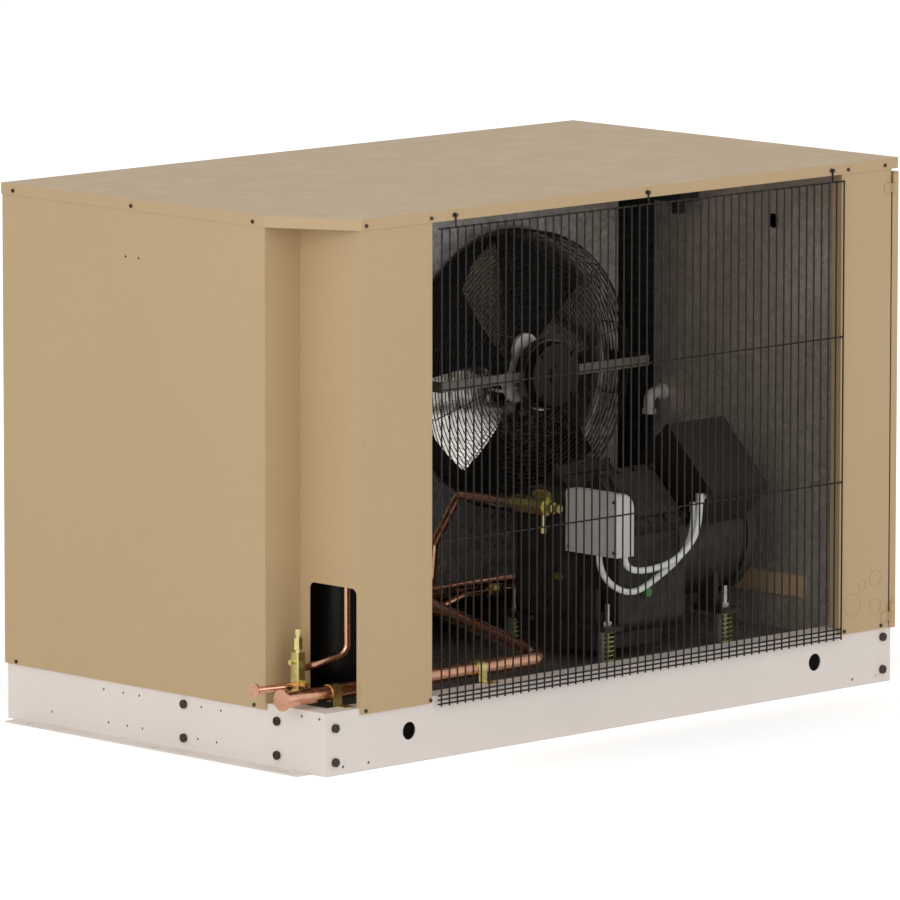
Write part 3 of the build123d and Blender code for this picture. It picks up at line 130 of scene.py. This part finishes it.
class Nodes:
    """A short way to write one material's node tree."""

    def __init__(self, name):
        self.material = bpy.data.materials.new(name)
        self.material.use_nodes = True
        self.tree = self.material.node_tree
        self.tree.nodes.clear()
        self.out = self.add("ShaderNodeOutputMaterial")
        self.shader = self.add("ShaderNodeBsdfPrincipled")
        self.link(self.shader.outputs[0], self.out.inputs[0])
        self.place = self.add("ShaderNodeTexCoord").outputs["Object"]

    def add(self, kind, **settings):
        node = self.tree.nodes.new(kind)
        for key, value in settings.items():
            setattr(node, key, value)
        return node

    def link(self, a, b):
        self.tree.links.new(a, b)

    def put(self, **values):
        """Set numbers on the shader's own sockets."""
        for key, value in values.items():
            socket = "Specular IOR Level" if key == "specular" else key.title()
            self.shader.inputs[socket].default_value = value

    def noise(self, scale, detail=4.0, rough=0.55, stretch=None):
        """Noise of that scale, stretched along the axes if asked."""
        tex = self.add("ShaderNodeTexNoise")
        tex.inputs["Scale"].default_value = scale
        tex.inputs["Detail"].default_value = detail
        tex.inputs["Roughness"].default_value = rough
        self.link(self.mapped(stretch), tex.inputs["Vector"])
        return tex.outputs["Fac"]

    def mapped(self, stretch):
        if stretch is None:
            return self.place
        mapping = self.add("ShaderNodeMapping")
        mapping.inputs["Scale"].default_value = stretch
        self.link(self.place, mapping.inputs["Vector"])
        return mapping.outputs["Vector"]

    def cells(self, scale):
        tex = self.add("ShaderNodeTexVoronoi", feature="F1")
        tex.inputs["Scale"].default_value = scale
        self.link(self.place, tex.inputs["Vector"])
        return tex

    def to_range(self, source, low, high, start=0.0, end=1.0):
        """Map the source's span start to end onto low to high."""
        node = self.add("ShaderNodeMapRange")
        for key, value in zip(("From Min", "From Max", "To Min", "To Max"), (start, end, low, high)):
            node.inputs[key].default_value = value
        self.link(source, node.inputs["Value"])
        return node.outputs["Result"]

    def mix(self, factor, a, b):
        """Colour a at factor 0 and colour b at 1, each a socket or a plain colour."""
        node = self.add("ShaderNodeMix", data_type="RGBA", blend_type="MIX")
        self.link(factor, node.inputs[0])
        for socket, value in ((6, a), (7, b)):
            if hasattr(value, "default_value"):
                self.link(value, node.inputs[socket])
            else:
                node.inputs[socket].default_value = (*value, 1.0)
        return node.outputs[2]

    def math(self, operation, a, b=0.0):
        node = self.add("ShaderNodeMath", operation=operation)
        for i, value in enumerate((a, b)):
            if hasattr(value, "default_value"):
                self.link(value, node.inputs[i])
            else:
                node.inputs[i].default_value = value
        return node.outputs[0]

    def axis(self, index):
        node = self.add("ShaderNodeSeparateXYZ")
        self.link(self.place, node.inputs[0])
        return node.outputs[index]

    def colour(self, source):
        self.link(source, self.shader.inputs["Base Color"])

    def rough(self, source):
        self.link(source, self.shader.inputs["Roughness"])

    def bump(self, *layers):
        """Bumps of (height source, distance in m), one on the other."""
        normal = None
        for source, distance in layers:
            node = self.add("ShaderNodeBump")
            node.inputs["Strength"].default_value = 1.0
            node.inputs["Distance"].default_value = distance
            self.link(source, node.inputs["Height"])
            if normal is not None:
                self.link(normal, node.inputs["Normal"])
            normal = node.outputs["Normal"]
        self.link(normal, self.shader.inputs["Normal"])


def srgb(r, g, b):
    """A colour in screen values, 0 to 255, as the shader's linear values."""
    return tuple((v / 255 / 12.92) if v <= 10 else ((v / 255 + 0.055) / 1.055) ** 2.4 for v in (r, g, b))


def scaled(colour, k):
    return tuple(min(1.0, v * k) for v in colour)


def painted(name, colour, rough=0.42, mottle=0.05, peel=0.00002, specular=0.5, dirt=0.0):
    """Sprayed sheet metal: slow shade drift, orange peel, and dust towards the bottom if asked."""
    m = Nodes(name)
    drift = m.noise(2.2, 3.0)
    fine = m.noise(38.0, 4.0)
    base = m.mix(m.to_range(drift, 0.0, 1.0, 0.3, 0.7),
                 scaled(colour, 1 - mottle), scaled(colour, 1 + mottle))
    base = m.mix(m.to_range(fine, 0.0, 0.10, 0.35, 0.75), base, scaled(colour, 0.82))
    if dirt:
        low = m.to_range(m.axis(2), dirt, 0.0, 0.0, 0.25)
        grime = m.math("MULTIPLY", low, m.to_range(m.noise(26.0, 6.0), 0.0, 1.0, 0.42, 0.66))
        base = m.mix(grime, base, scaled(colour, 0.62))
    m.colour(base)
    m.rough(m.to_range(m.noise(14.0, 5.0), rough - 0.06, rough + 0.08, 0.3, 0.7))
    m.bump((m.noise(900.0, 2.0), peel), (m.noise(3.0, 1.0), 0.0006))
    m.put(specular=specular)
    return m.material


def bare_metal(name, colour, rough=0.32, grain=(1.0, 1.0, 1.0), tarnish=None, bump=0.00001, metallic=1.0):
    """Metal with drawn grain and stains."""
    m = Nodes(name)
    streak = m.noise(160.0, 6.0, 0.6, grain)
    base = m.mix(m.to_range(streak, 0.0, 1.0, 0.3, 0.7), scaled(colour, 0.90), scaled(colour, 1.06))
    if tarnish:
        patch = m.to_range(m.noise(17.0, 7.0, 0.62), 0.0, 0.75, 0.46, 0.68)
        base = m.mix(patch, base, tarnish)
    m.colour(base)
    m.rough(m.to_range(m.noise(60.0, 5.0), rough - 0.07, rough + 0.12, 0.3, 0.7))
    m.bump((streak, bump))
    m.put(metallic=metallic)
    return m.material


def galvanised(name, light, dark, cell=75.0, rough=0.42):
    """Hot-dip zinc: crystals of different shade and gloss."""
    m = Nodes(name)
    crystals = m.cells(cell)
    shade = m.add("ShaderNodeSeparateColor")
    m.link(crystals.outputs["Color"], shade.inputs[0])
    pick = m.math("ADD", m.math("MULTIPLY", shade.outputs[0], 0.75),
                  m.math("MULTIPLY", m.noise(9.0, 4.0), 0.35))
    base = m.mix(m.to_range(pick, 0.0, 1.0, 0.1, 0.95), dark, light)
    base = m.mix(m.to_range(m.noise(210.0, 3.0), 0.0, 0.3, 0.5, 0.8), base, scaled(dark, 0.8))
    m.colour(base)
    m.rough(m.to_range(shade.outputs[1], rough - 0.12, rough + 0.12))
    m.bump((crystals.outputs["Distance"], 0.00006), (m.noise(400.0, 2.0), 0.00001))
    m.put(metallic=0.65)
    return m.material


def casting(name, colour, rough=0.5):
    """Enamelled iron casting: sandy skin, softly pitted, gloss worn in patches."""
    m = Nodes(name)
    base = m.mix(m.to_range(m.noise(30.0, 6.0), 0.0, 1.0, 0.35, 0.65),
                 scaled(colour, 0.75), scaled(colour, 1.5))
    m.colour(base)
    m.rough(m.to_range(m.noise(24.0, 6.0), rough - 0.12, rough + 0.12, 0.35, 0.65))
    m.bump((m.noise(420.0, 5.0), 0.00022), (m.noise(60.0, 4.0), 0.0005))
    m.put(specular=0.3)
    return m.material


def plastic(name, colour, rough=0.45, specular=0.5):
    m = Nodes(name)
    m.colour(m.mix(m.to_range(m.noise(20.0, 4.0), 0.0, 1.0, 0.35, 0.65),
                   scaled(colour, 0.93), scaled(colour, 1.05)))
    m.rough(m.to_range(m.noise(40.0, 4.0), rough - 0.05, rough + 0.08, 0.35, 0.65))
    m.bump((m.noise(1400.0, 2.0), 0.00002))
    m.put(specular=specular)
    return m.material


def fins_in_painted_shade(name):
    """Close aluminium fins in painted shade: the fin faces darkened and the gaps between them painted near
    black, with faint tube rows across.
    """
    m = Nodes(name)
    along = m.math("ADD", m.axis(0), m.axis(1))
    wave = m.math("SINE", m.math("MULTIPLY", along, 2 * math.pi / (fin_pitch * MM)))
    tube = m.math("SINE", m.math("MULTIPLY", m.axis(2), 2 * math.pi / (tube_pitch * MM)))
    # 0 is painted shade in the gaps between fins, 1 is the fin face
    gap_shade_mask = m.to_range(wave, 0.0, 1.0, -0.6, 0.8)
    # dark is painted shade between the fins; light is the fin face, its aluminium darkened as if in shade
    dark, light = (0.018, 0.018, 0.019), (0.16, 0.16, 0.165)
    base = m.mix(gap_shade_mask, dark, light)
    bent = m.to_range(m.noise(7.0, 6.0, 0.6, (3.0, 3.0, 0.35)), 0.0, 0.55, 0.45, 0.7)
    base = m.mix(bent, base, (0.09, 0.09, 0.092))
    base = m.mix(m.to_range(tube, 0.0, 0.22, 0.55, 1.0), base, (0.24, 0.235, 0.23))
    m.colour(base)
    m.rough(m.to_range(m.noise(50.0, 4.0), 0.42, 0.62, 0.35, 0.65))
    m.bump((wave, 0.0004), (tube, 0.0003))
    m.put(metallic=0.55)
    return m.material


def ribbed_white(name):
    """White liquid-tight conduit, faintly ribbed and handled."""
    m = Nodes(name)
    m.colour(m.mix(m.to_range(m.noise(55.0, 5.0), 0.0, 0.6, 0.5, 0.75),
                   srgb(228, 228, 222), srgb(188, 186, 178)))
    m.rough(m.to_range(m.noise(80.0, 3.0), 0.36, 0.5, 0.3, 0.7))
    wave = m.math("SINE", m.math("MULTIPLY", m.axis(0), 2 * math.pi / (rib_pitch * MM)))
    m.bump((wave, 0.00022))
    return m.material


def fittings(name):
    """Brass with a green plug cap at one place on the crankcase."""
    m = Nodes(name)
    base = m.mix(m.to_range(m.noise(160.0, 6.0), 0.0, 1.0, 0.3, 0.7),
                 srgb(222, 208, 136), srgb(236, 224, 160))
    stain = m.to_range(m.noise(17.0, 7.0, 0.62), 0.0, 0.75, 0.46, 0.68)
    base = m.mix(stain, base, srgb(196, 178, 106))
    gap = m.add("ShaderNodeVectorMath", operation="DISTANCE")
    m.link(m.place, gap.inputs[0])
    gap.inputs[1].default_value = at(*green_cap)
    capped = m.math("LESS_THAN", gap.outputs["Value"], cap_reach * MM)
    m.colour(m.mix(capped, base, srgb(58, 112, 62)))
    m.rough(m.to_range(m.noise(60.0, 5.0), 0.22, 0.42, 0.3, 0.7))
    m.link(m.math("SUBTRACT", 1.0, capped), m.shader.inputs["Metallic"])
    return m.material


def box_with_fittings(name, wall):
    """Black terminal box whose conduit fittings, left of its wall, are plated."""
    m = Nodes(name)
    plated = m.math("LESS_THAN", m.axis(0), at(wall, 0, 0)[0])
    m.colour(m.mix(plated, srgb(30, 28, 26), srgb(214, 212, 206)))
    m.rough(m.to_range(m.noise(40.0, 4.0), 0.34, 0.46, 0.3, 0.7))
    m.link(m.math("MULTIPLY", plated, 0.8), m.shader.inputs["Metallic"])
    m.bump((m.noise(900.0, 2.0), 0.00002))
    m.put(specular=0.35)
    return m.material


TAN = srgb(193, 166, 127)
finish = {
    "tan": painted("tan_paint", TAN, 0.42, 0.015, specular=0.35),
    "base": painted("base_paint", srgb(232, 222, 214), 0.42, 0.03, dirt=0.02),
    "zinc_sheet": galvanised("galvanised_sheet", srgb(168, 164, 160), srgb(120, 116, 112)),
    "shroud": galvanised("shroud_sheet", srgb(172, 170, 168), srgb(138, 135, 132), 60.0, 0.36),
    "dark_bolt": bare_metal("dark_bolt", srgb(84, 76, 71), 0.42, tarnish=srgb(60, 50, 44)),
    "zinc": bare_metal("zinc_plate", srgb(196, 194, 186), 0.30, tarnish=srgb(150, 146, 130)),
    "casting": casting("enamelled_casting", srgb(40, 37, 34), 0.52),
    "black_paint": painted("black_paint", srgb(28, 26, 24), 0.40, 0.05, specular=0.3),
    "lid": painted("lid_paint", srgb(34, 31, 29), 0.34, 0.05, specular=0.35),
    "cast_aluminium": bare_metal("cast_aluminium", srgb(226, 222, 220), 0.45, tarnish=srgb(196, 192, 188),
                                 bump=0.00012, metallic=0.35),
    "blade": bare_metal("blade_sheet", srgb(214, 208, 202), 0.20, (1.0, 1.0, 8.0), bump=0.00001),
    "fins": fins_in_painted_shade("coil_fins_painted_shade"),
    "copper": bare_metal("copper_tube", srgb(236, 182, 152), 0.20, tarnish=srgb(206, 140, 108)),
    # painted light: the partition's colours are lighter and warmer than the other galvanised sheet, standing
    # in for light that doesn't reach inside the cabinet
    "partition": galvanised("partition_sheet_painted_light", srgb(226, 214, 200), srgb(198, 186, 172)),
    "dull_steel": bare_metal("dull_steel", srgb(132, 128, 122), 0.45, tarnish=srgb(96, 92, 88)),
    "deck": galvanised("deck_sheet", srgb(150, 142, 134), srgb(112, 104, 98), 60.0),
    "brass": fittings("brass_body"),
    "rubber": plastic("door_rubber", srgb(30, 30, 30), 0.75, 0.3),
    "grey_plastic": plastic("grey_moulding", srgb(200, 194, 190), 0.42),
    "black_plastic": plastic("black_moulding", srgb(28, 28, 30), 0.40),
    "conduit": ribbed_white("white_conduit_skin"),
    "spring": bare_metal("spring_wire", srgb(176, 180, 96), 0.34, tarnish=srgb(120, 120, 60)),
    "wire": painted("wire_paint", srgb(44, 37, 32), 0.45, 0.04, specular=0.25),
    "box": box_with_fittings("terminal_box_paint", span("terminal_box_lid")[0][0] - 0.5),
    "fan_wire": painted("fan_wire_paint", srgb(24, 22, 21), 0.42, 0.04, specular=0.3),
}

node_finish = {
    "base": "base_front_rail base_rear_rail base_left_rail base_right_rail base_cross_members",
    "tan": "left_panel corner_panel right_front_pier top_cap right_posts control_door partition_strip "
           "door_hinge_leaves door_hinge_pins",
    "partition": "control_partition",
    "deck": "base_deck",
    "zinc_sheet": "coil_end_plates shroud_supports control_plate",
    "shroud": "fan_shroud fan_venturi shipping_spacers",
    "dull_steel": "fan_mount",
    "dark_bolt": "base_bolts fan_shaft cabinet_screws",
    "zinc": "door_latch mount_studs",
    "casting": "compressor_body cylinder_heads compressor_end_covers compressor_bolts",
    "black_paint": "fan_motor fan_motor_cover receiver",
    "box": "terminal_box",
    "lid": "terminal_box_lid",
    "cast_aluminium": "fan_hub",
    "blade": "fan_blades",
    "fins": "coil_fins",
    "copper": "coil_tubes suction_line discharge_line liquid_line oil_line",
    "brass": "compressor_fittings line_sight_glass liquid_valves liquid_valve_stem pipe_clamps",
    "rubber": "door_gasket",
    "grey_plastic": "module_box conduit_elbow",
    "black_plastic": "control_gear pressure_switch",
    "conduit": "upper_conduit lower_conduit",
    "spring": "mount_springs",
    "wire": "wire_guard",
    "fan_wire": "fan_guard",
}


def dress(piece, material):
    """Give a piece or a carried-over node one finish."""
    if not piece.material_slots:
        piece.data.materials.append(material)
    for place in piece.material_slots:
        place.link = "OBJECT"
        place.material = material


for key, names in node_finish.items():
    for name in names.split():
        if name in nodes:
            dress(nodes[name], finish[key])
for piece in conduit_pieces:
    dress(piece, finish["conduit"])


# ------------------------------------------------------------------ wire work
def wires(name, lines, thickness, key, stands_for=(), body="cabinet", closed=False, sides=2):
    """Round wires along point lists, as one curve piece. If closed, only lists of over 8 points are rings."""
    curve = bpy.data.curves.new(name, "CURVE")
    curve.dimensions = "3D"
    curve.bevel_depth, curve.bevel_resolution = 1.0, sides
    curve.use_fill_caps = not closed
    for points in lines:
        ring = closed and len(points) > 8
        line = curve.splines.new("POLY")
        line.points.add(len(points) - 1)
        for target, point in zip(line.points, points):
            target.co = (*point, 1)
            target.radius = thickness / 2 * MM
        line.use_cyclic_u = ring
    piece = bpy.data.objects.new(name, curve)
    scene.collection.objects.link(piece)
    if stands_for:
        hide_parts(*stands_for)
    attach(piece, body)
    dress(piece, finish[key])
    return piece


wire = 4.0
guard_count = 53
cross_rows = (6, 16, 26, 377, 723)      # cross wires above the guard's foot
top_row_drop, screw_drop = 42, 14       # top cross wire and rim screws below the roof
hook_places, hook_r = (48, 667, 1282), 3.6


def front_guard():
    """Upright round wires welded to cross wires, with hooks over the top's rim screws."""
    low, high = span("wire_guard")
    front_y, back_y = low[1] + wire / 2, high[1] - wire / 2
    first, last = low[0] + wire * 1.5, high[0] - wire * 1.5
    screw_line = height - screw_drop
    rows = [low[2] + row for row in cross_rows] + [height - top_row_drop]
    lines = [[at(low[0], back_y, z), at(high[0], back_y, z)] for z in rows]
    for i in range(guard_count):
        x = first + (last - first) * i / (guard_count - 1)
        lines.append([at(x, front_y, low[2] + 1), at(x, front_y, rows[-1] + 3)])
    for x in (first + place for place in hook_places):
        bend = [at(x, back_y, rows[-1]), at(x, back_y, screw_line)]
        bend += [at(x - hook_r + hook_r * math.cos(a), back_y, screw_line + hook_r * math.sin(a))
                 for a in (math.pi * k / 6 for k in range(1, 9))]
        lines.append(bend)
    piece = wires("guard_wires", lines, wire, "wire", ["wire_guard"])


front_guard()

guard_low, guard_high = span("fan_guard")
fan_x, fan_z = (guard_low[0] + guard_high[0]) / 2, (guard_low[2] + guard_high[2]) / 2
guard_r = (guard_high[0] - guard_low[0]) / 2 - 1.5
face_y, shroud_y = guard_low[1] + 2.5, span("fan_shroud")[0][1]


def circle(radius, y, count=96):
    """Points of a ring about the fan's axis."""
    return [at(fan_x + radius * math.cos(2 * math.pi * i / count), y,
               fan_z + radius * math.sin(2 * math.pi * i / count)) for i in range(count)]


def polar(radius, angle, y):
    return at(fan_x + radius * math.cos(angle), y, fan_z + radius * math.sin(angle))


def basket():
    """Close rings across the fan's face and down its side, on radial ribs."""
    inner, pitch, bend, rib_bend, behind = 126.0, 10.5, 14.0, 12.0, 2.2
    side_rings, rib_count = 7, 12
    corner = guard_r - bend
    count = int((corner - inner) / pitch)
    rings = [circle(inner + (corner - inner) * i / count, face_y) for i in range(count + 1)]
    rings += [circle(guard_r - bend * (1 - math.sin(a)), face_y + bend * (1 - math.cos(a)))
              for a in (0.6, 1.1)]
    depth = shroud_y - 2 - (face_y + bend)
    rings += [circle(guard_r, face_y + bend + depth * i / (side_rings - 1)) for i in range(side_rings)]
    radials = []
    for i in range(rib_count):
        a = math.radians(15 + 30 * i)
        radials.append([polar(inner - 2, a, face_y + behind), polar(corner, a, face_y + behind)] +
                       [polar(corner + rib_bend * math.sin(t), a, face_y + bend - rib_bend * math.cos(t))
                        for t in (0.5, 1.0, 1.57)] + [polar(guard_r - behind, a, shroud_y - 1)])
    piece = wires("fan_basket", rings + radials, 2.4, "fan_wire", ["fan_guard"], closed=True)


basket()


def springs():
    """Round-wire coil springs between the deck and the feet."""
    low, high = span("mount_springs")
    radius, wire_d, turns, steps = 17.0, 4.4, 8.5, 24
    flat_end, rising = 0.09, 0.82           # shares of the wire that lie flat at each end, and that rise
    reach = radius + wire_d / 2
    count = int(turns * steps)
    bottom, top = low[2] + wire_d / 2, high[2] - wire_d / 2
    lines = []
    for x in (low[0] + reach, high[0] - reach):
        for y in (low[1] + reach, high[1] - reach):
            coil = []
            for i in range(count + 1):
                a = 2 * math.pi * i / steps
                rise = min(1, max(0, (i / count - flat_end) / rising))
                coil.append(at(x + radius * math.cos(a), y + radius * math.sin(a),
                               bottom + (top - bottom) * rise))
            lines.append(coil)
    piece = wires("mount_coils", lines, wire_d, "spring", ["mount_springs"], sides=3)


springs()


def module_details():
    """Corner screws and knockout rings on the outer face of the module box."""
    low, high = span("module_box")
    side, foot, head = 10, 12, 18           # screws in from the sides, the foot and the rounded top
    form = bmesh.new()
    for y, z in ((y, z) for y in (low[1] + side, high[1] - side) for z in (low[2] + foot, high[2] - head)):
        turn = Matrix.Translation(at(low[0] - 0.4, y, z)) @ Matrix.Rotation(math.pi / 2, 4, "Y")
        bmesh.ops.create_cone(form, cap_ends=True, segments=14, radius1=4.2 * MM, radius2=3.4 * MM,
                              depth=1.6 * MM, matrix=turn)
    mesh = bpy.data.meshes.new("module_screws")
    form.to_mesh(mesh)
    form.free()
    screws = bpy.data.objects.new("module_screws", mesh)
    scene.collection.objects.link(screws)
    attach(screws, "cabinet")
    dress(screws, finish["dull_steel"])
    rings, steps = [], 40
    for y, z, r in ((low[1] + 52, low[2] + 78, 22.0), (low[1] + 108, low[2] + 82, 16.0)):
        turns = [2 * math.pi * k / steps for k in range(steps)]
        rings.append([at(low[0] - 0.1, y + r * math.cos(a), z + r * math.sin(a)) for a in turns])
    marks = wires("module_knockouts", rings, 0.9, "grey_plastic", closed=True)


module_details()


# ------------------------------------------------------------------ light and ground
def white_ground():
    """Pale floor that still takes the object's shadow."""
    m = Nodes("ground")
    grain = m.noise(1.5, 3.0)
    seen = m.add("ShaderNodeLightPath").outputs["Is Camera Ray"]
    m.colour(m.mix(seen, m.mix(grain, (0.90, 0.90, 0.90), (0.93, 0.93, 0.93)), (1.6, 1.6, 1.6)))
    m.put(roughness=0.9, specular=0.1)
    mesh = bpy.data.meshes.new("floor")
    form = bmesh.new()
    bmesh.ops.create_grid(form, x_segments=1, y_segments=1, size=70.0)
    form.to_mesh(mesh)
    form.free()
    floor = bpy.data.objects.new("floor", mesh)
    floor.location = (0, 0, -0.0005)
    scene.collection.objects.link(floor)
    dress(floor, m.material)


def lamp(name, place, aim, size, power):
    data = bpy.data.lights.new(name, "AREA")
    data.shape, data.size, data.energy = "SQUARE", size, power
    light = bpy.data.objects.new(name, data)
    light.location = place
    light.rotation_euler = (Vector(aim) - Vector(place)).to_track_quat("-Z", "Y").to_euler()
    scene.collection.objects.link(light)


def sky():
    world = bpy.data.worlds.new("studio")
    scene.world = world
    world.use_nodes = True
    tree = world.node_tree
    tree.nodes.clear()
    out = tree.nodes.new("ShaderNodeOutputWorld")
    back = tree.nodes.new("ShaderNodeBackground")
    path = tree.nodes.new("ShaderNodeLightPath")
    level = tree.nodes.new("ShaderNodeMapRange")
    level.inputs["To Min"].default_value, level.inputs["To Max"].default_value = 0.90, 1.0
    tree.links.new(path.outputs["Is Camera Ray"], level.inputs["Value"])
    tree.links.new(level.outputs[0], back.inputs["Strength"])
    tree.links.new(back.outputs[0], out.inputs[0])


white_ground()
sky()
lamp("key", (-9.0, -3.5, 3.5), (0.0, 0.0, 0.6), 6.0, 215.0)
lamp("fill", (3.0, -9.0, 3.5), (0.0, 0.0, 0.6), 5.0, 90.0)
scene.view_settings.view_transform = "Standard"

bpy.context.view_layer.update()
